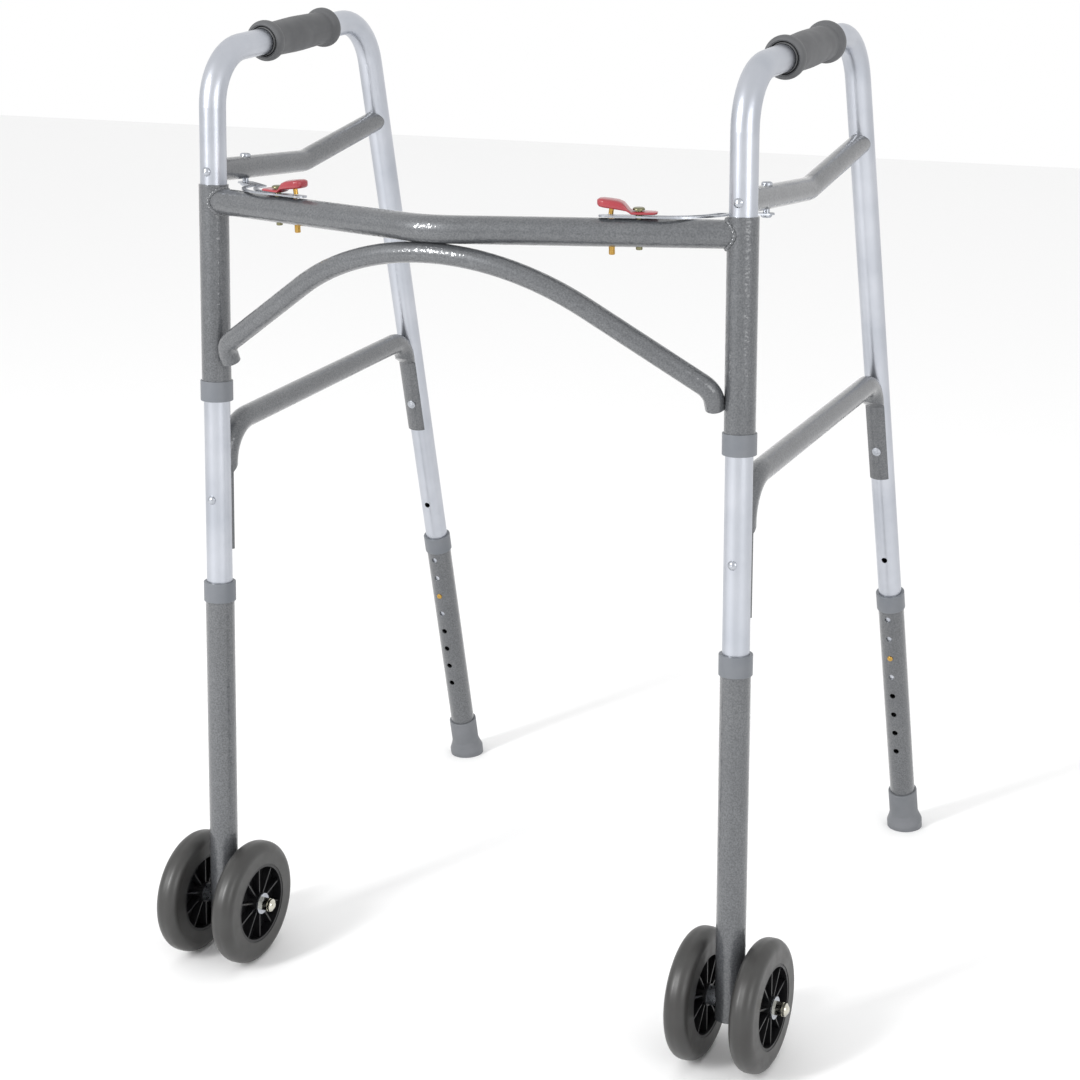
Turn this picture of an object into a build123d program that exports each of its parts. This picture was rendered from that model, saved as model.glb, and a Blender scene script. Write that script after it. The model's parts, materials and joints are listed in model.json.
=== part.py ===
from build123d import *
import os
from math import acos, asin, atan, cos, degrees, hypot, pi, radians, sin, sqrt, tan

# Folding walking frame with dual front wheels. Millimetres, +Z up, +Y towards the user, so the wheels
# are at the front (-Y). The origin is on the floor, below the middle of the frame.

# ---------------------------------------------------------------- driving dimensions
track = 564.0           # between the two front leg axes, at the height of the wheel axles
wheel_base = 556.0      # from the wheel axles back to where the rear tips meet the floor
origin_from_axles = 256.0   # the origin's distance behind the wheel axles
grip_height = 860.5     # handle axis above the axles, where it would meet the front leg's axis
leg_rake = 4.0          # degrees that the front legs lean back
leg_splay = 0.75        # degrees that the front legs spread towards the floor
side_toe = 0.95         # degrees that the side frames open towards the rear
rear_lean = 16.3        # degrees between the front and the rear leg of a side frame
handle_rise = 6.85      # degrees that the hand grip rises towards the rear, across the front leg
handle_bend = 57.0      # bend radius of the side tube's two top corners

leg_od = 25.4           # side tube
leg_wall = 1.6
sleeve_wall = 1.5       # front sleeves and leg extensions
crossbar_od = 25.4
crossbar_wall = 1.6
arch_od = 19.05
brace_od = 22.2
brace_wall = 1.5

sleeve_clearance = 0.08     # radial, the side tube turns in the sleeve
extension_clearance = 0.10  # radial, the extensions slide on the side tube
gap = 0.35                  # between pieces of different bodies that pass each other

crossbar_rise = 719.75      # axis above the wheel axles
crossbar_bow = 74.0         # how far the crossbar's middle stands ahead of its ends
crossbar_bend = 100.0
sleeve_bottom = 530.0       # along the front leg, above the axle
sleeve_top = 737.4
collar_length = 20.0
collar_wall = 1.5
collar_overlap = 16.0       # how much of a collar covers its tube

brace_above_sleeve = 1.9    # gap between the sleeve and the upper brace
upper_brace_bend_at = 165.0     # from the front leg
upper_brace_rise = 13.2     # degrees
upper_brace_bend = 60.0
lower_brace_height = 495.6  # where its straight run would meet the front leg
lower_brace_rise = 5.9
lower_brace_front_bend = 42.0
lower_brace_rear_bend = 27.0
saddle_wall = 3.0           # each end is flattened against its leg
front_saddle = 373.0        # its low end along the front leg, above the axle
rear_saddle = 471.0         # and along the rear leg, above the floor
saddle_relief = 7.5         # between the flattened length and the bend
rivet_r = 2.4
rivet_rim = 0.5
rivet_head_r = 4.4
rivet_head_height = 2.6
rivet_tail_height = 1.8
blind_rivet_r = 4.8
blind_tail_r = 3.4
pivot_head_r = 5.2
pivot_head = 2.6
leg_rivet_drop = 0.6        # below the upper brace's axis
front_brace_rivet = 426.5
rear_brace_rivet = 505.0

front_leg_end = 262.5       # the side tube's lower ends inside the extensions
rear_leg_end = 204.0
front_collar_top = 341.0    # tops of the extension collars, along each leg
rear_collar_top = 322.0
front_extension_bottom = -19.0
front_button_height = 283.6
front_button_hole = 1       # the button's place among the adjustment holes, counted down from 0
rear_button_height = 242.0
rear_button_hole = 2
adjustment_holes = 8
hole_pitch = 25.4
front_spare_hole = 1        # pitches above the button where the side tube has a second button hole
rear_spare_hole = 5
button_r = 3.2
button_clearance = 0.08
button_proud = 1.5          # button tip beyond the extension
clip_width = 9.0
clip_thickness = 0.8

wheel_od = 127.0
tyre_width = 24.0
tyre_section = 22.5         # radial height of the tyre
hub_width = 23.0
hub_web = 2.6
hub_rib = 1.6
hub_ribs = 10
hub_boss_r = 10.5
axle_r = 4.0
axle_clearance = 0.08
wheel_centre = 32.6         # from the leg's axis to the middle of each tyre
hub_rib_width = 19.0
tyre_shoulder = 10.0
rim_r = 38.0                # inside of the hub's rim
spacer_r = 9.0
washer_r = 10.8
washer_thickness = 1.6
nut_flats = 13.0
nut_length = 8.0
nut_dome_r = 6.4
bolt_head = 5.3
side_play = 0.3             # each wheel's end play on the axle

tip_length = 52.0
tip_wall = 2.3              # round the extension, at the tip's top
tip_foot_flare = 3.9
tip_floor = 9.0             # rubber under the extension's end

grip_start = 90.0           # from the front leg's axis, along the handle
grip_length = 122.0
grip_margin = 2.0           # of straight handle left behind the grip, at least
grip_wall = 4.3
grip_flange_rim = 3.0       # the end flanges beyond the grip's barrel
grip_flange = 9.0
grip_taper = 14.4           # from the grip's end to where its barrel begins

fold_arm = 56.0             # from the front leg's axis back to the link's pivot
link_wall = 1.6
link_width = 15.0
link_slot_clearance = 0.45
link_pin_r = 3.0
link_tip = 4.0              # from the lock pin's hole to the centre of the strap's rounded end
latch_from_middle = 184.2   # latch rivet and lock pin, across the frame
pin_from_middle = 160.7
paddle_free_end = 36.0      # from the rivet
paddle_tail = 17.0
paddle_width = 18.0
paddle_thickness = 7.6
paddle_tail_thickness = 2.8
paddle_press = 8.0          # degrees
paddle_lift = 3.6           # underside above the crossbar
rocker_r = 1.8              # round ridge across the paddle, on which it rocks
stud_r = 2.2
paddle_slot_play = 0.8
stud_end = 3.4              # above the crossbar
latch_head_r = 5.5
latch_head = 2.3
latch_head_gap = 1.1        # under the rivet's head, for the paddle to rock
latch_tail = 2.4            # rivet below the crossbar
lock_pin_top = 0.2          # pin's top below the crossbar's
lock_pin_shoulder = 4.0
lock_pin_r = 2.75
lock_pin_clearance = 0.08
lock_pin_head_r = 4.6
lock_pin_below = 7.0        # pin end below the crossbar

# ---------------------------------------------------------------- derived sizes and frames
leg_r = leg_od / 2
leg_bore = leg_r - leg_wall
sleeve_r = leg_r + extension_clearance + sleeve_wall
sleeve_od = 2 * sleeve_r
sleeve_bore = leg_r + sleeve_clearance
extension_bore = leg_r + extension_clearance
crossbar_r = crossbar_od / 2
crossbar_bore = crossbar_r - crossbar_wall
brace_r = brace_od / 2
brace_bore = brace_r - brace_wall
wheel_r = wheel_od / 2
collar_r = sleeve_r + collar_wall
tip_top_r = sleeve_r + tip_wall
tip_foot_r = tip_top_r + tip_foot_flare
grip_r = leg_r + grip_wall
grip_flange_r = grip_r + grip_flange_rim
hub_r = wheel_r - tyre_section
lean = radians(rear_lean)
rise = radians(handle_rise)
splay = radians(leg_splay)
axle_height = wheel_r * cos(splay) + (wheel_centre + tyre_width / 2 - tyre_shoulder) * sin(splay)
crossbar_height = axle_height + crossbar_rise
upper_brace_height = sleeve_top + brace_above_sleeve + brace_r
leg_rivet_height = upper_brace_height - leg_rivet_drop
turn = pi / 2 - lean + rise


def side_frame(side):
    """The frame of one side: z up the front leg from the wheel axle, y rearwards in the side frame's plane."""
    leg = Vector(-side * tan(radians(leg_splay)), tan(radians(leg_rake)), 1).normalized()
    rear = Vector(side * tan(radians(side_toe)), 1, 0)
    return Plane(origin=(side * track / 2, -origin_from_axles, axle_height), x_dir=rear.cross(leg), z_dir=leg)


sides = {"left": -1, "right": 1}
frames = {name: side_frame(side) for name, side in sides.items()}

# the rear leg's axis in a side frame, from the floor up
rake = radians(leg_rake)
rear_foot = Vector(
    0,
    wheel_base * cos(rake) + axle_height * sin(rake),
    wheel_base * sin(rake) - axle_height * cos(rake),
)
rear_up = Vector(0, -sin(lean), cos(lean))
rear_frame = Plane(origin=rear_foot, x_dir=(1, 0, 0), z_dir=rear_up)


def rear_point(along, ahead=0.0):
    """A point of a side frame, at a height along the rear leg and a distance ahead of its axis."""
    point = rear_foot + rear_up * along - rear_frame.y_dir * ahead
    return (point.Y, point.Z)


def meet_rear_leg(start, slope, ahead=0.0):
    """Where a line in the side frame, from start at a slope, meets the rear leg's axis or a line ahead of it."""
    base = rear_point(0, ahead)
    along = (start[1] - base[1] + slope * (base[0] - start[0])) / (cos(lean) + slope * sin(lean))
    return (base[0] - along * sin(lean), base[1] + along * cos(lean))


front_corner = (0.0, grip_height)
rear_corner = meet_rear_leg(front_corner, tan(rise))
handle_run = hypot(rear_corner[0], rear_corner[1] - grip_height) - handle_bend * tan(turn / 2)
grip_end = min(grip_start + grip_length, handle_run - grip_margin)
grip_frame = Plane(
    origin=(0, front_corner[0], front_corner[1]), x_dir=(1, 0, 0), z_dir=(0, cos(rise), sin(rise))
)

# crossbar in plan: two straight halves that meet at a bend ahead of the legs
crossbar_end_x = track / 2 - (crossbar_height - axle_height) * tan(splay)
crossbar_end_y = -origin_from_axles + (crossbar_height - axle_height) * tan(rake)
crossbar_slope = crossbar_bow / crossbar_end_x
crossbar_angle = degrees(atan(crossbar_slope))


def on_crossbar(side, distance):
    """A point of the crossbar's axis at a distance from the middle."""
    return Vector(side * distance, crossbar_end_y - crossbar_bow + crossbar_slope * distance, crossbar_height)


def latch_frame(side):
    """The latch's frame: z up from the crossbar's top at the rivet, x along the crossbar towards the leg."""
    out = Vector(side, crossbar_slope, 0).normalized()
    top = on_crossbar(side, latch_from_middle) + Vector(0, 0, crossbar_r)
    return Plane(origin=top, x_dir=out, z_dir=(0, 0, 1))


pin_from_rivet = (latch_from_middle - pin_from_middle) * sqrt(1 + crossbar_slope**2)
link_bottom = frames["right"].to_local_coords(on_crossbar(1, crossbar_end_x)).Z + crossbar_r + gap

# how a cylinder stands on, or hangs from, its place
standing = (Align.CENTER, Align.CENTER, Align.MIN)
hanging = (Align.CENTER, Align.CENTER, Align.MAX)

os.makedirs("parts", exist_ok=True)


def write(builder, label, place=Location()):
    """Label a finished piece, set it in the walking frame's own frame and write its STEP file."""
    builder.part.label = label
    placed = builder.part.moved(place)
    placed.label = label
    export_step(placed, f"parts/{label}.step")


def circles_of(builder, radius):
    """The circular edges of a given radius."""
    return builder.edges().filter_by(GeomType.CIRCLE).filter_by(lambda e: abs(e.radius - radius) < 0.01)


# ---------------------------------------------------------------- front frame: sleeves, crossbar and arch
def make_sleeve(name):
    with BuildPart() as sleeve:
        with BuildSketch(Plane.XY.offset(sleeve_bottom)):
            Circle(sleeve_r)
            Circle(sleeve_bore, mode=Mode.SUBTRACT)
        extrude(amount=sleeve_top - sleeve_bottom)
        fillet(sleeve.edges().group_by(Axis.Z)[-1].sort_by(SortBy.RADIUS)[-1], 0.5)
    write(sleeve, f"{name}_sleeve", frames[name].location)

    with BuildPart() as collar:
        with BuildSketch(Plane.YZ):
            with BuildLine():
                Polyline(
                    (sleeve_bore, sleeve_bottom - collar_length + collar_overlap),
                    (collar_r, sleeve_bottom - collar_length + collar_overlap),
                    (collar_r, sleeve_bottom + collar_overlap),
                    (sleeve_r, sleeve_bottom + collar_overlap),
                    (sleeve_r, sleeve_bottom),
                    (sleeve_bore, sleeve_bottom),
                    close=True,
                )
            make_face()
        revolve(axis=Axis.Z)
        fillet(circles_of(collar, collar_r), 0.6)
    write(collar, f"{name}_sleeve_collar", frames[name].location)


for name in sides:
    make_sleeve(name)

with BuildPart() as crossbar:
    with BuildLine(Plane.XY.offset(crossbar_height)) as bar_line:
        FilletPolyline(
            (-crossbar_end_x, crossbar_end_y),
            (0, crossbar_end_y - crossbar_bow),
            (crossbar_end_x, crossbar_end_y),
            radius=crossbar_bend,
        )
    with BuildSketch(Plane(origin=bar_line.line @ 0, z_dir=bar_line.line % 0)):
        Circle(crossbar_r)
        Circle(crossbar_bore, mode=Mode.SUBTRACT)
    sweep(path=bar_line.line)
    for name, side in sides.items():
        with Locations(frames[name].location * Location((0, 0, sleeve_top / 2))):
            Cylinder(sleeve_r, 2 * sleeve_top, mode=Mode.SUBTRACT)
        latch = latch_frame(side).location
        with Locations(latch):
            Cylinder(link_pin_r, 6 * crossbar_r, mode=Mode.SUBTRACT)
        with Locations(latch * Location((-pin_from_rivet, 0, 0))):
            Cylinder(stud_r + 1.1, crossbar_r, mode=Mode.SUBTRACT)
        with Locations(latch * Location((-pin_from_rivet, 0, -2 * crossbar_r))):
            Cylinder(lock_pin_r + lock_pin_clearance, crossbar_r, mode=Mode.SUBTRACT)
write(crossbar, "crossbar")

# The arch lies in a plane that leans forward, from the sleeves up to the underside of the crossbar.
arch_r = arch_od / 2
arch_joint = 0.5            # how deep the arch is let into the crossbar
crossbar_middle_y = crossbar_end_y - crossbar_bow + crossbar_bend * (1 / cos(radians(crossbar_angle)) - 1)
arch_top = Vector(0, crossbar_middle_y, crossbar_height - crossbar_r - arch_r + arch_joint)
arch_lean = 0.405           # how far it comes back for each unit down
arch_half_width = crossbar_end_x - sleeve_r - arch_r / 2
arch_crown = 250.0
arch_drop = 123.75          # from the crown down to where the ends turn, in the arch's plane
arch_end_bend = 20.0
arch_end = 18.0
arch_solid_end = 6.0        # the tube's closed and flattened ends
arch_up = Vector(0, -arch_lean, 1).normalized()
arch_plane = Plane(origin=arch_top, x_dir=(1, 0, 0), z_dir=Vector(1, 0, 0).cross(arch_up))
arch_reach = hypot(arch_crown - arch_drop, arch_half_width)
arch_crown_angle = asin(arch_half_width / arch_reach) - acos(arch_crown / arch_reach)
crown_x = arch_crown * sin(arch_crown_angle)
crown_y = -arch_crown * (1 - cos(arch_crown_angle))
shoulder_y = -arch_drop


def arch_path(end):
    """The arch's centre line in its plane, with straight ends of a given length."""
    left = FilletPolyline(
        (-arch_half_width, shoulder_y - end),
        (-arch_half_width, shoulder_y),
        (-crown_x, crown_y),
        radius=arch_end_bend,
    )
    crown = ThreePointArc((-crown_x, crown_y), (0, 0), (crown_x, crown_y))
    right = FilletPolyline(
        (crown_x, crown_y),
        (arch_half_width, shoulder_y),
        (arch_half_width, shoulder_y - end),
        radius=arch_end_bend,
    )
    return left, crown, right


with BuildPart() as arch_bar:
    with BuildLine(arch_plane) as arch_line:
        arch_path(arch_end)
    with BuildSketch(Plane(origin=arch_line.line @ 0, z_dir=arch_line.line % 0)):
        Circle(arch_r)
    sweep(path=arch_line.line)
    with BuildLine(arch_plane) as arch_hollow:
        arch_path(arch_end - arch_solid_end)
    with BuildSketch(Plane(origin=arch_hollow.line @ 0, z_dir=arch_hollow.line % 0)):
        Circle(arch_r - brace_wall)
    sweep(path=arch_hollow.line, mode=Mode.SUBTRACT)
    add(crossbar.part, mode=Mode.SUBTRACT)
    for name, side in sides.items():
        with Locations(frames[name].location * Location((0, 0, sleeve_top / 2))):
            Cylinder(sleeve_r, 2 * sleeve_top, mode=Mode.SUBTRACT)
write(arch_bar, "arch_bar")


# ---------------------------------------------------------------- side frames
def brace_rear_end(bend):
    """Where the upper brace's sloping run meets the rear leg."""
    return meet_rear_leg(bend, tan(radians(upper_brace_rise)), ahead=leg_r / 4)


def make_side_tube(name):
    with BuildPart() as tube:
        with BuildLine(Plane.YZ) as centre_line:
            FilletPolyline(
                (0, front_leg_end), front_corner, rear_corner, rear_point(rear_leg_end), radius=handle_bend
            )
        with BuildSketch(Plane(origin=centre_line.line @ 0, z_dir=centre_line.line % 0)):
            Circle(leg_r)
            Circle(leg_bore, mode=Mode.SUBTRACT)
        sweep(path=centre_line.line)
        for pitches in (0, front_spare_hole):
            with Locations(Location((0, leg_r, front_button_height + pitches * hole_pitch), (90, 0, 0))):
                Cylinder(button_r + button_clearance, leg_od, mode=Mode.SUBTRACT)
        for pitches in (0, rear_spare_hole):
            hole = Location((0, -leg_r, rear_button_height + pitches * hole_pitch), (90, 0, 0))
            with Locations(rear_frame.location * hole):
                Cylinder(button_r + button_clearance, leg_od, mode=Mode.SUBTRACT)
        for height in (leg_rivet_height, front_brace_rivet):
            with Locations(Location((0, 0, height), (90, 0, 0))):
                Cylinder(rivet_r, 2 * leg_od, mode=Mode.SUBTRACT)
        with Locations(rear_frame.location * Location((0, -leg_r, rear_brace_rivet), (90, 0, 0))):
            Cylinder(rivet_r, leg_od, mode=Mode.SUBTRACT)
    write(tube, f"{name}_side_tube", frames[name].location)


def make_grip(name):
    with BuildPart() as grip:
        with BuildSketch(Plane.XZ):
            with BuildLine():
                Polyline(
                    (leg_r, grip_start),
                    (grip_flange_r, grip_start),
                    (grip_flange_r, grip_start + grip_flange),
                    (grip_r, grip_start + grip_taper),
                    (grip_r, grip_end - grip_taper),
                    (grip_flange_r, grip_end - grip_flange),
                    (grip_flange_r, grip_end),
                    (leg_r, grip_end),
                    close=True,
                )
            make_face()
        revolve(axis=Axis.Z)
        fillet(circles_of(grip, grip_flange_r), 3.0)
    write(grip, f"{name}_hand_grip", frames[name].location * grip_frame.location)


def make_upper_brace(name):
    bend = (upper_brace_bend_at, upper_brace_height)
    with BuildPart() as brace:
        with BuildLine(Plane.YZ) as centre_line:
            FilletPolyline(
                (leg_r / 2, upper_brace_height), bend, brace_rear_end(bend), radius=upper_brace_bend
            )
        with BuildSketch(Plane(origin=centre_line.line @ 0, z_dir=centre_line.line % 0)):
            Circle(brace_r)
            Circle(brace_bore, mode=Mode.SUBTRACT)
        sweep(path=centre_line.line)
        with Locations((0, 0, upper_brace_height)):
            Cylinder(leg_r, 4 * brace_od, mode=Mode.SUBTRACT)
        with Locations(rear_frame.location * Location((0, 0, upper_brace_height))):
            Cylinder(leg_r, upper_brace_height, mode=Mode.SUBTRACT)
        with Locations((0, fold_arm, upper_brace_height)):
            Cylinder(link_pin_r, 2 * brace_od, mode=Mode.SUBTRACT)
    write(brace, f"{name}_upper_brace", frames[name].location)


def crush_tool(saddle_low, saddle_high, bend):
    """The space outside a flattened end: a cylinder round the leg's axis that opens upwards in a cone."""
    flat_r = leg_r + saddle_wall
    opening = bend / 2
    with BuildPart() as tool:
        with BuildSketch(Plane.XZ):
            with BuildLine():
                Polyline(
                    (flat_r, saddle_low - leg_od),
                    (flat_r, saddle_high),
                    (flat_r + opening, saddle_high + opening),
                    (flat_r + leg_od, saddle_high + opening),
                    (flat_r + leg_od, saddle_low - leg_od),
                    close=True,
                )
            make_face()
        revolve(axis=Axis.Z)
    return tool.part


def make_lower_brace(name):
    """A tube whose ends turn down and are flattened against the front leg and the rear leg."""
    slope = tan(radians(lower_brace_rise))
    offset = leg_r + brace_r / 4
    front_turn = (offset, lower_brace_height + slope * offset)
    rear_turn = meet_rear_leg(front_turn, slope, ahead=offset)
    front_start = (offset, front_saddle)
    rear_end = rear_point(rear_saddle, ahead=offset)
    front_bend = lower_brace_front_bend * tan(radians(90 - lower_brace_rise) / 2)
    rear_bend = lower_brace_rear_bend * tan(radians(90 + lower_brace_rise - rear_lean) / 2)
    hollow_start = (front_turn[0] + front_bend, front_turn[1] + slope * front_bend)
    hollow_end = (rear_turn[0] - rear_bend, rear_turn[1] - slope * rear_bend)
    front_flat = front_turn[1] - front_bend - saddle_relief
    rear_flat = (rear_turn[1] - rear_point(0, ahead=offset)[1]) / cos(lean) - rear_bend - saddle_relief
    front_crush = crush_tool(front_saddle, front_flat, lower_brace_front_bend)
    rear_crush = crush_tool(rear_saddle, rear_flat, lower_brace_rear_bend)
    with BuildPart() as brace:
        with BuildLine(Plane.YZ) as outside:
            FilletPolyline(
                front_start,
                front_turn,
                rear_turn,
                rear_end,
                radius=[lower_brace_front_bend, lower_brace_rear_bend],
            )
        with BuildSketch(Plane(origin=outside.line @ 0, z_dir=outside.line % 0)):
            Circle(brace_r)
        sweep(path=outside.line)
        with BuildLine(Plane.YZ) as inside:
            Line(hollow_start, hollow_end)
        with BuildSketch(Plane(origin=inside.line @ 0, z_dir=inside.line % 0)):
            Circle(brace_bore)
        sweep(path=inside.line, mode=Mode.SUBTRACT)
        with Locations((0, 0, lower_brace_height)):
            Cylinder(leg_r, lower_brace_height, mode=Mode.SUBTRACT)
        with Locations(rear_frame.location * Location((0, 0, lower_brace_height))):
            Cylinder(leg_r, lower_brace_height, mode=Mode.SUBTRACT)
        add(front_crush, mode=Mode.SUBTRACT)
        add(rear_crush.moved(rear_frame.location), mode=Mode.SUBTRACT)
        with Locations(Location((0, leg_r, front_brace_rivet), (90, 0, 0))):
            Cylinder(rivet_r, leg_od, mode=Mode.SUBTRACT)
        with Locations(rear_frame.location * Location((0, -leg_r, rear_brace_rivet), (90, 0, 0))):
            Cylinder(rivet_r, leg_od, mode=Mode.SUBTRACT)
    write(brace, f"{name}_lower_brace", frames[name].location)


def rivet_on_z(low, high, low_head, high_head):
    """A rivet along z between two seats; a head is a radius and a height, the upper one domed."""
    rise_of_dome = high_head[1] - rivet_rim
    dome_r = (high_head[0] ** 2 + rise_of_dome**2) / (2 * rise_of_dome)
    half_way = asin(high_head[0] / dome_r) / 2
    with BuildPart() as rivet:
        with BuildSketch(Plane.XZ):
            with BuildLine():
                Polyline(
                    (0, high + high_head[1]),
                    (0, low - low_head[1]),
                    (0.7 * low_head[0], low - low_head[1]),
                    (low_head[0], low - rivet_rim),
                    (low_head[0], low),
                    (rivet_r, low),
                    (rivet_r, high),
                    (high_head[0], high),
                    (high_head[0], high + rivet_rim),
                )
                ThreePointArc(
                    (high_head[0], high + rivet_rim),
                    (dome_r * sin(half_way), high + high_head[1] - dome_r * (1 - cos(half_way))),
                    (0, high + high_head[1]),
                )
            make_face()
        revolve(axis=Axis.Z)
    return rivet.part


# z points ahead in these places
ahead_at = {
    "leg": Location((0, 0, leg_rivet_height), (90, 0, 0)),
    "front": Location((0, 0, front_brace_rivet), (90, 0, 0)),
    "rear": rear_frame.location * Location((0, 0, rear_brace_rivet), (90, 0, 0)),
}
saddle_r = leg_r + saddle_wall
head_size = (rivet_head_r, rivet_head_height)
tail_size = (rivet_head_r, rivet_tail_height)
leg_rivet = rivet_on_z(-leg_r, leg_r, tail_size, head_size)
front_rivet = rivet_on_z(-saddle_r, leg_r, tail_size, head_size)
blind_seat = sqrt(leg_bore**2 - blind_tail_r**2)
blind_rivet = rivet_on_z(
    blind_seat, saddle_r, (blind_tail_r, rivet_tail_height), (blind_rivet_r, rivet_tail_height)
)


def make_rivets(name):
    """The rivets that hold the two braces to the legs, and the pivot of the fold link."""
    with BuildPart() as rivets:
        add(leg_rivet.moved(ahead_at["leg"]))
        add(front_rivet.moved(ahead_at["front"]))
        add(blind_rivet.moved(ahead_at["rear"]))
    write(rivets, f"{name}_brace_rivets", frames[name].location)

    with BuildPart() as pivot:
        with Locations((0, fold_arm, link_bottom - pivot_head)):
            Cylinder(
                link_pin_r,
                upper_brace_height + brace_r + pivot_head - link_bottom,
                align=standing,
            )
        with Locations((0, fold_arm, link_bottom - gap / 2)):
            Cylinder(pivot_head_r, pivot_head, align=hanging)
        low = pivot.faces().sort_by(Axis.Z)[0]
        fillet(low.edges().filter_by(GeomType.CIRCLE).sort_by(SortBy.RADIUS)[-1], pivot_head - 0.3)
        with Locations((0, fold_arm, upper_brace_height + brace_r - 0.8)):
            Cylinder(pivot_head_r, pivot_head + 0.8, align=standing)
        with Locations(Location((0, fold_arm, upper_brace_height), (90, 0, 0))):
            Cylinder(brace_r, 4 * pivot_head_r, mode=Mode.SUBTRACT)
        with Locations((0, fold_arm, link_bottom - gap)):
            Cylinder(
                link_pin_r,
                upper_brace_height + brace_r + gap - link_bottom,
                align=standing,
            )
        high = pivot.faces().sort_by(Axis.Z)[-1]
        fillet(high.edges().filter_by(GeomType.CIRCLE).sort_by(SortBy.RADIUS)[-1], pivot_head - 0.4)
    write(pivot, f"{name}_link_pivot", frames[name].location)


def make_clips(name):
    """The spring clips inside the side tube, behind the two buttons."""
    face = sqrt(leg_bore**2 - (clip_width / 2) ** 2) - clip_thickness / 2
    with BuildPart() as clips:
        for place, height, towards in (
            (Location(), front_button_height, 1),
            (rear_frame.location, rear_button_height, -1),
        ):
            with BuildLine(Plane.YZ) as strip:
                FilletPolyline(
                    (towards * face, height + 26),
                    (towards * face, height - 13),
                    (-towards * face, height - 13),
                    (-towards * face, height + 12),
                    radius=5,
                )
            with BuildSketch(Plane(origin=strip.line @ 0, x_dir=(1, 0, 0), z_dir=strip.line % 0)):
                Rectangle(clip_width, clip_thickness)
            one = sweep(path=strip.line, mode=Mode.PRIVATE)
            add(one.moved(place))
    write(clips, f"{name}_leg_clips", frames[name].location)


def make_fold_link(name):
    """The strap from the upper brace's pivot, with a curved slot that runs on the latch rivet."""
    side = sides[name]
    above = Vector(0, 0, crossbar_r + gap + link_wall)
    pin = frames[name].to_local_coords(on_crossbar(side, latch_from_middle) + above)
    centre = (pin.X, pin.Y + fold_arm)
    slot_end = (pin.X + side * fold_arm, pin.Y + fold_arm)
    pivot = Vector(0, fold_arm, 0)
    lock = frames[name].to_local_coords(on_crossbar(side, pin_from_middle) + above)
    rivet = Vector(pin.X, pin.Y, 0)
    tip = rivet + (Vector(lock.X, lock.Y, 0) - rivet) * (1 + link_tip / pin_from_rivet)
    with BuildPart() as link:
        with BuildSketch(Plane.XY.offset(link_bottom)):
            with BuildLine(mode=Mode.PRIVATE):
                curve = CenterArc(centre, fold_arm, -90, side * 90)
            SlotArc(curve, link_width)
            for start, end in ((Vector(*slot_end), pivot), (rivet, tip)):
                run = end - start
                with Locations(Location((start + end) / 2, (0, 0, degrees(atan(run.Y / run.X))))):
                    Rectangle(run.length, link_width)
                with Locations(end):
                    Circle(link_width / 2)
            SlotArc(curve, 2 * (link_pin_r + link_slot_clearance), mode=Mode.SUBTRACT)
            with Locations(pivot):
                Circle(link_pin_r + sleeve_clearance, mode=Mode.SUBTRACT)
            with Locations((lock.X, lock.Y)):
                Circle(lock_pin_r + link_slot_clearance, mode=Mode.SUBTRACT)
        extrude(amount=link_wall)
    write(link, f"{name}_fold_link", frames[name].location)


# ---------------------------------------------------------------- latch: rivet, paddle, stud and lock pin
paddle_hinge = paddle_lift + paddle_tail_thickness / 2
press = radians(paddle_press)
pin_travel = pin_from_rivet * sin(press)


def raised(x, z):
    """Where a point of the pressed paddle stands at rest, turned up about the hinge."""
    up = z - paddle_hinge
    return (x * cos(press) + up * sin(press), paddle_hinge - x * sin(press) + up * cos(press))


stud_point = raised(-pin_from_rivet, stud_end - pin_travel)
stud_root = raised(-pin_from_rivet, paddle_lift + paddle_thickness / 2)


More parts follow.
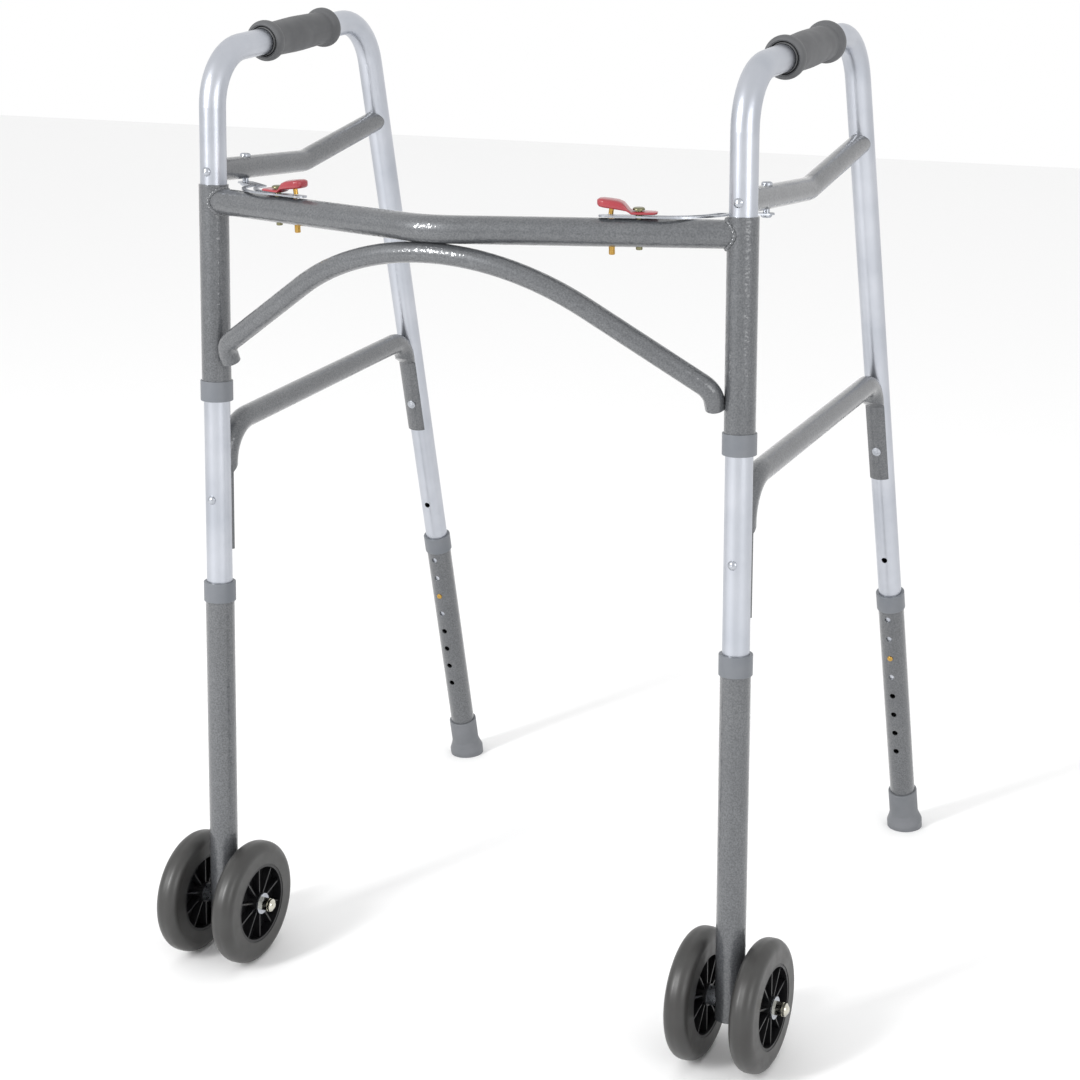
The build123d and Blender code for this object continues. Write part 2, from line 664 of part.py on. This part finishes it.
def make_latch(name):
    place = latch_frame(sides[name]).location
    with BuildPart() as rivet:
        rivet_head = paddle_lift + paddle_tail_thickness + latch_head_gap
        with Locations((0, 0, -crossbar_od - latch_tail)):
            Cylinder(link_pin_r, crossbar_od + latch_tail + rivet_head, align=standing)
        with Locations((0, 0, rivet_head)):
            Cylinder(latch_head_r, latch_head, align=standing)
        fillet(rivet.faces().sort_by(Axis.Z)[-1].edges(), latch_head - 0.4)
        fillet(rivet.faces().sort_by(Axis.Z)[0].edges(), 0.8)
    write(rivet, f"{name}_latch_rivet", place)

    with BuildPart() as paddle:
        with BuildSketch(Plane.XZ):
            with BuildLine():
                Polyline(
                    (paddle_tail, paddle_lift),
                    (0, paddle_lift),
                    raised(-paddle_free_end, paddle_lift),
                    raised(-paddle_free_end, paddle_lift + paddle_thickness),
                    raised(-latch_head_r - 5.0, paddle_lift + paddle_thickness),
                    (-latch_head_r - 2.0, paddle_lift + paddle_tail_thickness),
                    (paddle_tail, paddle_lift + paddle_tail_thickness),
                    close=True,
                )
            make_face()
        extrude(amount=paddle_width / 2, both=True)
        with Locations(Location((0, 0, paddle_hinge), (90, 0, 0))):
            Cylinder(rocker_r, paddle_width)
        with BuildSketch(Plane.XY.offset(paddle_lift - 1)):
            SlotCenterToCenter(2 * paddle_slot_play, 2 * (link_pin_r + gap))
        extrude(amount=paddle_tail_thickness + 2, mode=Mode.SUBTRACT)
        with BuildSketch(Plane(origin=(stud_point[0], 0, stud_point[1]), z_dir=(sin(press), 0, cos(press)))):
            Circle(stud_r)
        extrude(amount=stud_root[1] - stud_point[1], mode=Mode.SUBTRACT)
        free_end = paddle.edges().filter_by(Axis.Z, tolerance=12).sort_by(Axis.X)[:2]
        fillet(free_end, 5.0)
        tail_end = paddle.edges().filter_by(Axis.Z).sort_by(Axis.X)[-2:]
        fillet(tail_end, 4.0)
    write(paddle, f"{name}_latch_paddle", place)

    with BuildPart() as stud:
        with BuildSketch(Plane(origin=(stud_point[0], 0, stud_point[1]), z_dir=(sin(press), 0, cos(press)))):
            Circle(stud_r)
        extrude(amount=stud_root[1] - stud_point[1])
    write(stud, f"{name}_latch_stud", place)

    with BuildPart() as plunger:
        with Locations((-pin_from_rivet, 0, -lock_pin_top)):
            Cylinder(
                lock_pin_r, crossbar_od + lock_pin_below - lock_pin_top, align=hanging
            )
        fillet(plunger.faces().sort_by(Axis.Z)[0].edges(), 0.8)
        with Locations((-pin_from_rivet, 0, -lock_pin_shoulder)):
            Cylinder(lock_pin_head_r, 2.0, align=hanging)
    write(plunger, f"{name}_lock_pin", place)


# ---------------------------------------------------------------- leg extensions, buttons and tips
def extension_collar(top, bore):
    """The plastic collar round the top of a leg extension."""
    with BuildPart() as collar:
        with BuildSketch(Plane.XZ):
            with BuildLine():
                Polyline(
                    (bore, top),
                    (collar_r, top),
                    (collar_r, top - collar_length),
                    (sleeve_r, top - collar_length),
                    (sleeve_r, top - collar_length + collar_overlap),
                    (bore, top - collar_length + collar_overlap),
                    close=True,
                )
            make_face()
        revolve(axis=Axis.Z)
        fillet(circles_of(collar, collar_r), 0.6)
    return collar


def hole_heights(button_height, button_hole):
    return [button_height + (button_hole - i) * hole_pitch for i in range(adjustment_holes)]


def make_front_leg(name):
    top = front_collar_top - collar_length + collar_overlap
    with BuildPart() as leg:
        with BuildSketch(Plane.XY.offset(front_extension_bottom)):
            Circle(sleeve_r)
            Circle(extension_bore, mode=Mode.SUBTRACT)
        extrude(amount=top - front_extension_bottom)
        with Locations(Location((0, 0, 0), (0, 90, 0))):
            Cylinder(axle_r, 2 * sleeve_od, mode=Mode.SUBTRACT)
        for height in hole_heights(front_button_height, front_button_hole):
            with Locations(Location((0, sleeve_r, height), (90, 0, 0))):
                Cylinder(button_r + button_clearance, sleeve_od, mode=Mode.SUBTRACT)
    write(leg, f"{name}_front_leg", frames[name].location)
    collar = extension_collar(front_collar_top, extension_bore)
    write(collar, f"{name}_front_leg_collar", frames[name].location)


def make_rear_leg(name):
    place = frames[name].location * rear_frame.location
    top = rear_collar_top - collar_length + collar_overlap
    with BuildPart() as leg:
        with BuildSketch(Plane.XY.offset(tip_floor)):
            Circle(sleeve_r)
            Circle(extension_bore, mode=Mode.SUBTRACT)
        extrude(amount=top - tip_floor)
        for height in hole_heights(rear_button_height, rear_button_hole):
            with Locations(Location((0, -sleeve_r, height), (90, 0, 0))):
                Cylinder(button_r + button_clearance, sleeve_od, mode=Mode.SUBTRACT)
    write(leg, f"{name}_rear_leg", place)
    collar = extension_collar(rear_collar_top, extension_bore)
    write(collar, f"{name}_rear_leg_collar", place)

    with BuildPart() as tip:
        with BuildSketch(Plane.XZ):
            with BuildLine():
                Polyline(
                    (0, -tip_floor),
                    (tip_foot_r - 0.8, -tip_floor),
                    (tip_foot_r, 4),
                    (tip_foot_r, 9),
                    (tip_top_r + 1.6, 15),
                    (tip_top_r, 21),
                    (tip_top_r, tip_length),
                    (sleeve_r, tip_length),
                    (sleeve_r, tip_floor),
                    (0, tip_floor),
                    close=True,
                )
            make_face()
        revolve(axis=Axis.Z)
        fillet(circles_of(tip, tip_top_r).sort_by(Axis.Z)[-1], 1.2)
        fillet(circles_of(tip, tip_foot_r), 1.5)
        with Locations(place.inverse() * Location((0, 0, -tip_length))):
            Box(10 * wheel_base, 10 * wheel_base, 2 * tip_length, mode=Mode.SUBTRACT)
    write(tip, f"{name}_rear_tip", place)


def make_buttons(name):
    for label, place in (
        ("front_button", Location((0, 0, front_button_height), (-90, 0, 0))),
        ("rear_button", rear_frame.location * Location((0, 0, rear_button_height), (90, 0, 0))),
    ):
        with BuildPart() as button:
            with BuildSketch(Plane.XY.offset(leg_r + sleeve_clearance)):
                Circle(button_r)
            extrude(amount=sleeve_r + button_proud - leg_r - sleeve_clearance)
            fillet(button.faces().sort_by(Axis.Z)[-1].edges(), 1.2)
        write(button, f"{name}_{label}", frames[name].location * place)


# ---------------------------------------------------------------- wheels and axle
hub_face = tyre_width / 2
spacer_end = wheel_centre - hub_face - side_play / 2
washer_start = wheel_centre + hub_face + side_play / 2
nut_start = washer_start + washer_thickness


def make_axle(name):
    place = frames[name].location * Location((0, 0, 0), (0, 90, 0))
    with BuildPart() as bolt:
        with BuildSketch(Plane.XY.offset(-nut_start - bolt_head)):
            RegularPolygon(nut_flats / 2, 6, major_radius=False)
        extrude(amount=bolt_head)
        with Locations((0, 0, -nut_start)):
            Cylinder(axle_r, 2 * nut_start + nut_length, align=standing)
    write(bolt, f"{name}_axle_bolt", place)

    with BuildPart() as nut:
        with BuildSketch(Plane.XY.offset(nut_start)):
            RegularPolygon(nut_flats / 2, 6, major_radius=False)
        extrude(amount=nut_length)
        with Locations((0, 0, nut_start + nut_length)):
            Cylinder(nut_dome_r, 2.4, align=standing)
        with Locations((0, 0, nut_start + nut_length + 2.4)):
            Sphere(nut_dome_r, arc_size1=0)
        with Locations((0, 0, nut_start)):
            Cylinder(axle_r, nut_length, align=standing, mode=Mode.SUBTRACT)
    write(nut, f"{name}_axle_nut", place)

    with BuildPart() as washers:
        for start in (-nut_start, washer_start):
            with BuildSketch(Plane.XY.offset(start)):
                Circle(washer_r)
                Circle(axle_r, mode=Mode.SUBTRACT)
            extrude(amount=washer_thickness)
    write(washers, f"{name}_axle_washers", place)

    with BuildPart() as spacers:
        with Locations((0, 0, 0)):
            Cylinder(spacer_r, 2 * spacer_end)
        with Locations(Location((0, 0, 0), (0, 90, 0))):
            Cylinder(sleeve_r, 4 * sleeve_od, mode=Mode.SUBTRACT)
        Cylinder(axle_r, 4 * spacer_end, mode=Mode.SUBTRACT)
    write(spacers, f"{name}_wheel_spacers", place)


def make_wheel(name, label, centre):
    """One front wheel on the axle: an inner or outer wheel, centred at a distance from the leg's axis."""
    place = frames[name].location * Location((0, 0, 0), (0, 90, 0))
    with BuildPart() as tyre:
        with BuildSketch(Plane.XZ):
            with Locations((hub_r + tyre_section / 2, centre)):
                Rectangle(tyre_section, tyre_width)
        revolve(axis=Axis.Z)
        fillet(circles_of(tyre, wheel_r), tyre_shoulder)
    write(tyre, f"{name}_{label}_tyre", place)

    with BuildPart() as hub:
        with BuildSketch(Plane.XY.offset(centre - hub_width / 2)):
            Circle(hub_r)
            Circle(rim_r, mode=Mode.SUBTRACT)
        extrude(amount=hub_width)
        with BuildSketch(Plane.XY.offset(centre - hub_web / 2)):
            Circle(rim_r)
        extrude(amount=hub_web)
        with BuildSketch(Plane.XY.offset(centre - hub_rib_width / 2)):
            with PolarLocations((rim_r + hub_boss_r) / 2, hub_ribs):
                Rectangle(rim_r - hub_boss_r + 2 * hub_rib, hub_rib)
        extrude(amount=hub_rib_width)
        with BuildSketch(Plane.XY.offset(centre - hub_face)):
            Circle(hub_boss_r)
        extrude(amount=2 * hub_face)
        with Locations((0, 0, centre)):
            Cylinder(axle_r + axle_clearance, 2 * tyre_width, mode=Mode.SUBTRACT)
    write(hub, f"{name}_{label}_hub", place)


for name in sides:
    make_side_tube(name)
    make_grip(name)
    make_upper_brace(name)
    make_lower_brace(name)
    make_rivets(name)
    make_clips(name)
    make_fold_link(name)
    make_latch(name)
    make_front_leg(name)
    make_rear_leg(name)
    make_buttons(name)
    make_axle(name)
    outward = sides[name] * wheel_centre
    make_wheel(name, "outer_wheel", outward)
    make_wheel(name, "inner_wheel", -outward)
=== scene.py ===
import json
import math

import bmesh
import bpy
import numpy as np
from mathutils import Matrix, Vector


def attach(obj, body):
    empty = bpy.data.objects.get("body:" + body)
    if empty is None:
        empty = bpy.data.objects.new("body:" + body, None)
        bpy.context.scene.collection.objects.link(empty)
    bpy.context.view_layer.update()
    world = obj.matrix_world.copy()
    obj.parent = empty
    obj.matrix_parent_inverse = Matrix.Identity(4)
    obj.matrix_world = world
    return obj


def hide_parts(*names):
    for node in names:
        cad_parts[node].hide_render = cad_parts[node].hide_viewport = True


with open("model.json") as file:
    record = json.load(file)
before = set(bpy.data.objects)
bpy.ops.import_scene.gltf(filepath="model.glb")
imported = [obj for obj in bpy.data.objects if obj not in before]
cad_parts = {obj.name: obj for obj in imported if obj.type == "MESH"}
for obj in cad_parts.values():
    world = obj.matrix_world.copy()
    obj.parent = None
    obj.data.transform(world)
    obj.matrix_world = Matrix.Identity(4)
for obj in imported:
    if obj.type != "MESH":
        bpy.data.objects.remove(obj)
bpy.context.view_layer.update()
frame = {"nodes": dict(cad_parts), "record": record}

nodes = frame["nodes"]
SIDES = ("left", "right")

# sizes in metres, as in the CAD
CROSSBAR_R = 0.0127
SLEEVE_R = 0.0143
FLANGE_RIM = 0.0032         # the grip's flanges beyond its barrel
WELD_R = 0.0021
WELD_RIPPLE = 0.003
FLOOR_REACH = 6.0           # half the floor's side

# how finely the new pieces are divided
GRIP_SEGMENTS = 96
PADDLE_SEGMENTS = 40
PADDLE_SQUARENESS = 3.4     # 2 is an ellipse
WELD_STEPS = 288
WELD_SECTION = 14


# ---------------------------------------------------------------- camera
def place_camera():
    """The camera: 22 degrees to the right of the front and 16.7 degrees down."""
    az, el, roll = math.radians(22.08), math.radians(16.72), math.radians(-0.15)
    look = Vector((-math.sin(az) * math.cos(el), math.cos(az) * math.cos(el), -math.sin(el)))
    right = look.cross(Vector((0, 0, 1))).normalized()
    up = right.cross(look)
    right, up = right * math.cos(roll) + up * math.sin(roll), up * math.cos(roll) - right * math.sin(roll)
    data = bpy.data.cameras.new("front_view")
    data.sensor_width = 36
    data.lens = 70.17
    data.shift_x = -0.136
    data.shift_y = -0.038
    camera = bpy.data.objects.new("front_view", data)
    bpy.context.collection.objects.link(camera)
    rotation = Matrix((right, up, -look)).transposed().to_4x4()
    camera.matrix_world = Matrix.Translation((0.912, -1.914, 1.091)) @ rotation
    bpy.context.scene.camera = camera


# ---------------------------------------------------------------- materials
def colour(hexa):
    """An sRGB hex colour as linear RGBA: c/12.92 below 0.04045, else ((c + 0.055)/1.055)^2.4."""
    out = []
    for i in (1, 3, 5):
        c = int(hexa[i:i + 2], 16) / 255
        out.append(c / 12.92 if c <= 0.04045 else ((c + 0.055) / 1.055) ** 2.4)
    return (*out, 1)


class Surface:
    """A node material; add() makes a node, sets its inputs and returns it."""

    def __init__(self, name, **principled):
        self.material = bpy.data.materials.new(name)
        self.material.use_nodes = True
        self.tree = self.material.node_tree
        self.shader = self.tree.nodes["Principled BSDF"]
        for key, value in principled.items():
            self.feed(self.shader, key.replace("_", " "), value)
        self.where = self.add("ShaderNodeTexCoord").outputs["Object"]

    def feed(self, node, key, value):
        socket = node.inputs[int(key[1:])] if key[0] == "i" and key[1:].isdigit() else node.inputs[key]
        if isinstance(value, bpy.types.NodeSocket):
            self.tree.links.new(value, socket)
        else:
            socket.default_value = value

    def add(self, kind, inputs=None, **settings):
        node = self.tree.nodes.new(kind)
        for key, value in settings.items():
            setattr(node, key, value)
        for key, value in (inputs or {}).items():
            self.feed(node, key, value)
        return node

    def noise(self, size, detail=2.0, rough=0.5, stretch=(1, 1, 1)):
        """Noise with features of about a size in metres, from 0 to 1."""
        scale = tuple(1 / (size * s) for s in stretch)
        scaled = self.add("ShaderNodeMapping", {"Vector": self.where, "Scale": scale})
        inputs = {"Vector": scaled.outputs[0], "Scale": 1.0, "Detail": detail, "Roughness": rough}
        return self.add("ShaderNodeTexNoise", inputs).outputs["Fac"]

    def cells(self, size):
        """Distance to the nearest of random points about a size apart, from 0 to 1."""
        inputs = {"Vector": self.where, "Scale": 1 / size}
        return self.add("ShaderNodeTexVoronoi", inputs).outputs["Distance"]

    def ramp(self, value, low, high, a, b):
        """value mapped from low..high to a..b, held at the ends."""
        inputs = {"Value": value, "From Min": low, "From Max": high, "To Min": a, "To Max": b}
        return self.add("ShaderNodeMapRange", inputs).outputs[0]

    def mix(self, factor, a, b):
        """Two colours mixed by a factor; sockets 6, 7 and output 2 are the mix node's colour ones."""
        return self.add("ShaderNodeMix", {"Factor": factor, "i6": a, "i7": b}, data_type="RGBA").outputs[2]

    def bump(self, height, depth, strength=1.0, normal=None):
        """A bumped normal; depth is the height's full range in metres."""
        inputs = {"Height": height, "Distance": depth, "Strength": strength}
        if normal is not None:
            inputs["Normal"] = normal
        return self.add("ShaderNodeBump", inputs).outputs[0]

    def set(self, **principled):
        for key, value in principled.items():
            self.feed(self.shader, key.replace("_", " "), value)
        return self.material


def hammered_grey():
    """Hammertone powder coat baked on tube: 3 mm dimples and 1.6 mm metallic flecks under a glossy
    skin, which break the strip light's reflection into sparks."""
    s = Surface("hammered_grey_powder_coat", Metallic=0.35, Roughness=0.42)
    s.set(Coat_Weight=1.0, Coat_Roughness=0.07)
    flake = s.noise(0.0016, 3, 0.6)
    cloud = s.noise(0.02, 2)
    tint = s.mix(s.ramp(flake, 0.36, 0.64, 0, 1), colour("#4b4d50"), colour("#65676a"))
    tint = s.mix(s.ramp(cloud, 0.3, 0.7, 0, 0.25), tint, colour("#44464a"))
    dimple = s.cells(0.0032)
    wave = s.noise(0.006, 1)
    normal = s.bump(dimple, 0.00022)
    normal = s.bump(wave, 0.0004, 1.0, normal)
    return s.set(Base_Color=tint, Normal=s.bump(flake, 0.00008), Coat_Normal=normal)


def anodised():
    """Drawn aluminium tube, satin anodised: die lines 0.6 mm apart along the tube blur the highlight
    into a band."""
    s = Surface("satin_anodised_aluminium", Metallic=1.0)
    drawn = s.noise(0.0006, 2, 0.5, stretch=(1, 1, 60))
    cloud = s.noise(0.05, 3)
    tint = s.mix(s.ramp(cloud, 0.3, 0.7, 0, 1), colour("#c3c6cd"), colour("#b3b7bf"))
    rough = s.ramp(drawn, 0.3, 0.7, 0.30, 0.38)
    return s.set(Base_Color=tint, Roughness=rough, Normal=s.bump(drawn, 0.000012))


def moulded(name, hexa, shade, roughness, grain=0.0009, depth=0.00004, coat=0.0):
    """Moulded plastic or rubber: an eroded mould's grain about 1 mm across, drawn coarser than the real
    0.3 mm so that it shows, and a faint change of shade over 30 mm where the part was handled."""
    s = Surface(name, Coat_Weight=coat, Coat_Roughness=0.2)
    tint = s.mix(s.ramp(s.noise(0.03, 3), 0.35, 0.65, 0, 1), colour(hexa), colour(shade))
    fine = s.noise(grain, 2)
    rough = s.ramp(s.noise(0.012, 2), 0.3, 0.7, roughness - 0.05, roughness + 0.06)
    return s.set(Base_Color=tint, Roughness=rough, Normal=s.bump(fine, depth))


def plated(name, hexa, shade, roughness):
    """Electroplated steel or solid brass: 4 mm blotches of plating, some duller than others."""
    s = Surface(name, Metallic=1.0)
    blotch = s.noise(0.004, 3, 0.6)
    tint = s.mix(s.ramp(blotch, 0.3, 0.7, 0, 1), colour(hexa), colour(shade))
    rough = s.ramp(blotch, 0.3, 0.7, roughness - 0.05, roughness + 0.08)
    return s.set(Base_Color=tint, Roughness=rough, Normal=s.bump(s.noise(0.0008, 2), 0.00001))


MATERIALS = {
    "powder_coat": hammered_grey(),
    "anodised_tube": anodised(),
    "collar_plastic": moulded("grey_moulded_plastic", "#6d7075", "#666a70", 0.42),
    "grip": moulded("grip_vinyl", "#58595b", "#4f5052", 0.55, 0.0011, 0.00008),
    "tip_rubber": moulded("grey_rubber", "#6e7074", "#65686c", 0.5),
    "tyre": moulded("tyre_rubber", "#353534", "#2f2e2d", 0.40, coat=0.1),
    "hub": moulded("black_hub_plastic", "#121214", "#0c0c0e", 0.38),
    "zinc": plated("zinc_plate", "#b9bcc2", "#a2a6ad", 0.28),
    "nickel": plated("nickel_plate", "#d5d3c8", "#c4c1b4", 0.12),
    "olive_zinc": plated("yellow_zinc_plate", "#8d8a6c", "#75735c", 0.3),
    "brass": plated("brass", "#c9a25a", "#b08b46", 0.22),
    "red_plastic": moulded("red_plastic", "#9c2f38", "#8d2832", 0.28, coat=0.4),
}

place_camera()
for part in frame["record"]["subparts"]:
    thing = nodes[part["node"]]
    thing.data.materials.clear()
    thing.data.materials.append(MATERIALS[part["material_slot"]])


# ---------------------------------------------------------------- pieces
joints = {joint["name"]: joint for joint in frame["record"]["behaviour"]["joints"]}
mounts = {mount["name"]: mount for mount in frame["record"]["mounts"]}


def unit(v):
    """A vector at length one."""
    v = np.asarray(v, float)
    return v / np.linalg.norm(v)


def corners_of(node):
    """Every vertex of a CAD node, as an array."""
    mesh = nodes[node].data
    out = np.empty(len(mesh.vertices) * 3)
    mesh.vertices.foreach_get("co", out)
    return out.reshape(-1, 3)


def add_piece(name, points, faces, body, slot, replaces=None):
    """A closed mesh as a finished piece: it rides on a body and takes its slot's material."""
    mesh = bpy.data.meshes.new(name)
    mesh.from_pydata(np.asarray(points).tolist(), [], faces)
    mesh.shade_smooth()
    piece = bpy.data.objects.new(name, mesh)
    bpy.context.collection.objects.link(piece)
    mesh.materials.append(MATERIALS[slot])
    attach(piece, body)
    if replaces:
        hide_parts(replaces)
    return piece


def face_outwards(piece):
    """Turns a closed mesh's faces outwards."""
    bm = bmesh.new()
    bm.from_mesh(piece.data)
    bmesh.ops.recalc_face_normals(bm, faces=bm.faces)
    bm.to_mesh(piece.data)
    bm.free()


def ring_faces(rows, columns, close_rows=False):
    """Quads between rows of points that each run round a closed ring."""
    faces = []
    for i in range(rows if close_rows else rows - 1):
        here, there = i * columns, (i + 1) % rows * columns
        for j in range(columns):
            k = (j + 1) % columns
            faces.append((here + j, here + k, there + k, there + j))
    return faces


def turned(profile, centre, axis, around):
    """A closed profile of (radius, height) points turned about an axis:
    centre + r (cos t u + sin t v) + h axis."""
    axis = unit(axis)
    u = unit(np.cross(axis, (0.0, 0.0, 1.0)))
    v = np.cross(axis, u)
    t = np.linspace(0, 2 * np.pi, around, endpoint=False)
    r, h = np.asarray(profile).T
    spin = np.cos(t)[:, None] * u + np.sin(t)[:, None] * v
    return np.asarray(centre) + (r[:, None, None] * spin + h[:, None, None] * axis).reshape(-1, 3)


def smooth_closed(points, per):
    """A closed Catmull-Rom curve through points a, b, c, d: from b to c it is
    (2b + (c - a)t + (2a - 5b + 4c - d)t^2 + (3b - a - 3c + d)t^3) / 2."""
    b = np.asarray(points, float)
    a, c, d = np.roll(b, 1, 0), np.roll(b, -1, 0), np.roll(b, -2, 0)
    t = (np.arange(per) / per)[None, :, None]
    a, b, c, d = (q[:, None, :] for q in (a, b, c, d))
    curve = (2 * b + (c - a) * t + (2 * a - 5 * b + 4 * c - d) * t**2 + (3 * b - a - 3 * c + d) * t**3) / 2
    return curve.reshape(-1, 2)


def make_grip(name):
    """A moulded vinyl grip: a barrel that swells in the middle between two rounded end flanges, each
    hollowed round the tube. Its axis is the CAD grip's longest principal axis, and its bore, rim and
    length are the CAD grip's."""
    points = corners_of(f"{name}_hand_grip")
    middle = (points.min(0) + points.max(0)) / 2
    axis = unit(np.linalg.svd(points - points.mean(0), full_matrices=False)[2][0])
    along = (points - middle) @ axis
    middle = middle + axis * (along.min() + along.max()) / 2
    half = (along.max() - along.min()) / 2
    off = points - middle
    off = off - (off @ axis)[:, None] * axis
    reach = np.linalg.norm(off, axis=1)
    bore, rim = reach.min(), reach.max()
    barrel = rim - FLANGE_RIM
    # radius and height, from the middle of the barrel out over the flange and into the hollow
    one_end = [
        (barrel + 0.0006, 0.0),
        (barrel, half * 0.45),
        (barrel - 0.0004, half - 0.0165),
        (barrel, half - 0.0135),
        (rim - 0.0008, half - 0.0105),
        (rim, half - 0.0065),
        (rim - 0.0006, half - 0.0025),
        (rim - 0.0034, half),
        (bore + 0.0034, half - 0.0003),
        (bore + 0.0022, half - 0.0012),
        (bore + 0.0019, half - 0.006),
        (bore, half - 0.0066),
    ]
    other = [(r, -h) for r, h in reversed(one_end[1:])]
    profile = smooth_closed(one_end + other, 5)
    profile[:, 0] = np.clip(profile[:, 0], bore, rim)
    points = turned(profile, middle, axis, GRIP_SEGMENTS)
    faces = ring_faces(len(profile), GRIP_SEGMENTS, True)
    add_piece(f"{name}_vinyl_grip", points, faces, f"{name}_side", "grip", f"{name}_hand_grip")


def make_paddle(name):
    """A moulded latch paddle: rounded sections |y/w|^n + |z/t|^n = 1 carried along its length, thick
    and wide at the raised free end, thin along the tail under the rivet. Heights are from the hinge."""
    joint = joints[f"{name}_paddle_press"]
    across = -unit(joint["axis"])
    up = np.array((0.0, 0.0, 1.0))
    out = np.cross(across, up)
    hinge = np.array(joint["pos_m"])
    place = np.array((
        # along, half width, underside, top
        (-0.0368, 0.0005, 0.0088, 0.0098),
        (-0.0362, 0.0042, 0.0066, 0.0116),
        (-0.0345, 0.0066, 0.0052, 0.0126),
        (-0.0310, 0.0084, 0.0044, 0.0128),
        (-0.0250, 0.0090, 0.0037, 0.0122),
        (-0.0180, 0.0090, 0.0027, 0.0112),
        (-0.0135, 0.0086, 0.0020, 0.0094),
        (-0.0105, 0.0080, 0.0015, 0.0060),
        (-0.0085, 0.0076, 0.0006, 0.0034),
        (-0.0060, 0.0074, -0.0013, 0.0014),
        (0.0000, 0.0074, -0.0014, 0.0014),
        (0.0100, 0.0074, -0.0014, 0.0014),
        (0.0145, 0.0066, -0.0013, 0.0013),
        (0.0164, 0.0044, -0.0010, 0.0010),
        (0.0169, 0.0006, -0.0002, 0.0002),
    ))
    rows, around = 4 * len(place) - 3, PADDLE_SEGMENTS
    dense = np.linspace(0, len(place) - 1, rows)
    x, w, low, high = (np.interp(dense, np.arange(len(place)), column) for column in place.T)
    t = np.linspace(0, 2 * np.pi, around, endpoint=False)
    power = 2 / PADDLE_SQUARENESS
    y = np.sign(np.cos(t)) * np.abs(np.cos(t)) ** power
    z = np.sign(np.sin(t)) * np.abs(np.sin(t)) ** power
    ys = w[:, None] * y
    zs = (low + high)[:, None] / 2 + (high - low)[:, None] / 2 * z
    points = hinge + x[:, None, None] * out + ys[..., None] * across + zs[..., None] * up
    points = points.reshape(-1, 3)
    faces = ring_faces(rows, around)
    faces.append(tuple(reversed(range(around))))
    faces.append(tuple(range((rows - 1) * around, rows * around)))
    piece = add_piece(
        f"{name}_red_paddle", points, faces, f"{name}_paddle", "red_plastic", f"{name}_latch_paddle"
    )
    face_outwards(piece)


def weld_bead(name, bar_point, bar_axis, bar_r, leg_point, leg_axis, leg_r, body):
    """A fillet weld where a bar's end meets a leg. Round the bar, the point at angle t is moved along
    the bar to where its distance from the leg's axis is leg_r. The bead is a small ring round that
    line, of radius WELD_R (1 + 0.1 sin(n t)), with n ripples WELD_RIPPLE apart."""
    d, a = unit(bar_axis), unit(leg_axis)
    u = unit(np.cross(d, a))
    v = np.cross(d, u)
    around, section = WELD_STEPS, WELD_SECTION
    t = np.linspace(0, 2 * np.pi, around, endpoint=False)
    spin = np.cos(t)[:, None] * u + np.sin(t)[:, None] * v
    start = np.asarray(bar_point) + bar_r * spin - np.asarray(leg_point)
    flat = start - (start @ a)[:, None] * a
    slope = d - (d @ a) * a
    qa, qb, qc = slope @ slope, 2 * flat @ slope, (flat**2).sum(1) - leg_r**2
    s = (-qb - np.sqrt(np.maximum(qb**2 - 4 * qa * qc, 0))) / (2 * qa)
    seam = start + s[:, None] * d + np.asarray(leg_point)
    ripples = np.round(2 * np.pi * bar_r / WELD_RIPPLE)
    wave = WELD_R * (1 + 0.10 * np.sin(ripples * t))
    k = np.linspace(0, 2 * np.pi, section, endpoint=False)
    ring = np.cos(k)[None, :, None] * spin[:, None, :] - np.sin(k)[None, :, None] * d
    points = seam[:, None, :] + wave[:, None, None] * ring
    faces = ring_faces(around, section, True)
    piece = add_piece(name, points.reshape(-1, 3), faces, body, "powder_coat")
    face_outwards(piece)


for side_name in SIDES:
    make_grip(side_name)
    make_paddle(side_name)
    rail = mounts[f"{side_name}_rail"]
    fold = joints[f"{side_name}_fold"]
    weld_bead(
        f"{side_name}_crossbar_weld",
        rail["pos_m"],
        rail["axis"],
        CROSSBAR_R,
        fold["pos_m"],
        fold["axis"],
        SLEEVE_R,
        "front_frame",
    )


# ---------------------------------------------------------------- stage and light
def strip(name, where, aim, size, power):
    """A soft rectangular light at a place, turned to a point."""
    data = bpy.data.lights.new(name, "AREA")
    data.shape = "RECTANGLE"
    data.size, data.size_y = size
    data.energy = power
    lamp = bpy.data.objects.new(name, data)
    lamp.location = where
    lamp.rotation_euler = (Vector(aim) - Vector(where)).to_track_quat("-Z", "Y").to_euler()
    bpy.context.collection.objects.link(lamp)


def make_stage():
    """A pale floor under a plain pale world."""
    mesh = bpy.data.meshes.new("floor")
    r = FLOOR_REACH
    mesh.from_pydata([(-r, -r, 0), (r, -r, 0), (r, r, 0), (-r, r, 0)], [], [(0, 1, 2, 3)])
    floor = bpy.data.objects.new("floor", mesh)
    bpy.context.collection.objects.link(floor)
    s = Surface("pale_floor", Roughness=0.9)
    mesh.materials.append(s.set(Base_Color=colour("#f4f4f4")))
    world = bpy.data.worlds.new("studio")
    bpy.context.scene.world = world
    world.use_nodes = True
    background = world.node_tree.nodes["Background"]
    background.inputs["Color"].default_value = colour("#ffffff")
    background.inputs["Strength"].default_value = 1.0


make_stage()
strip("key", (-1.3, -2.6, 2.0), (0, 0, 0.5), (0.4, 1.4), 60)
strip("fill", (2.6, -1.6, 1.4), (0, 0, 0.5), (1.5, 1.5), 20)
bpy.context.scene.view_settings.view_transform = "Standard"
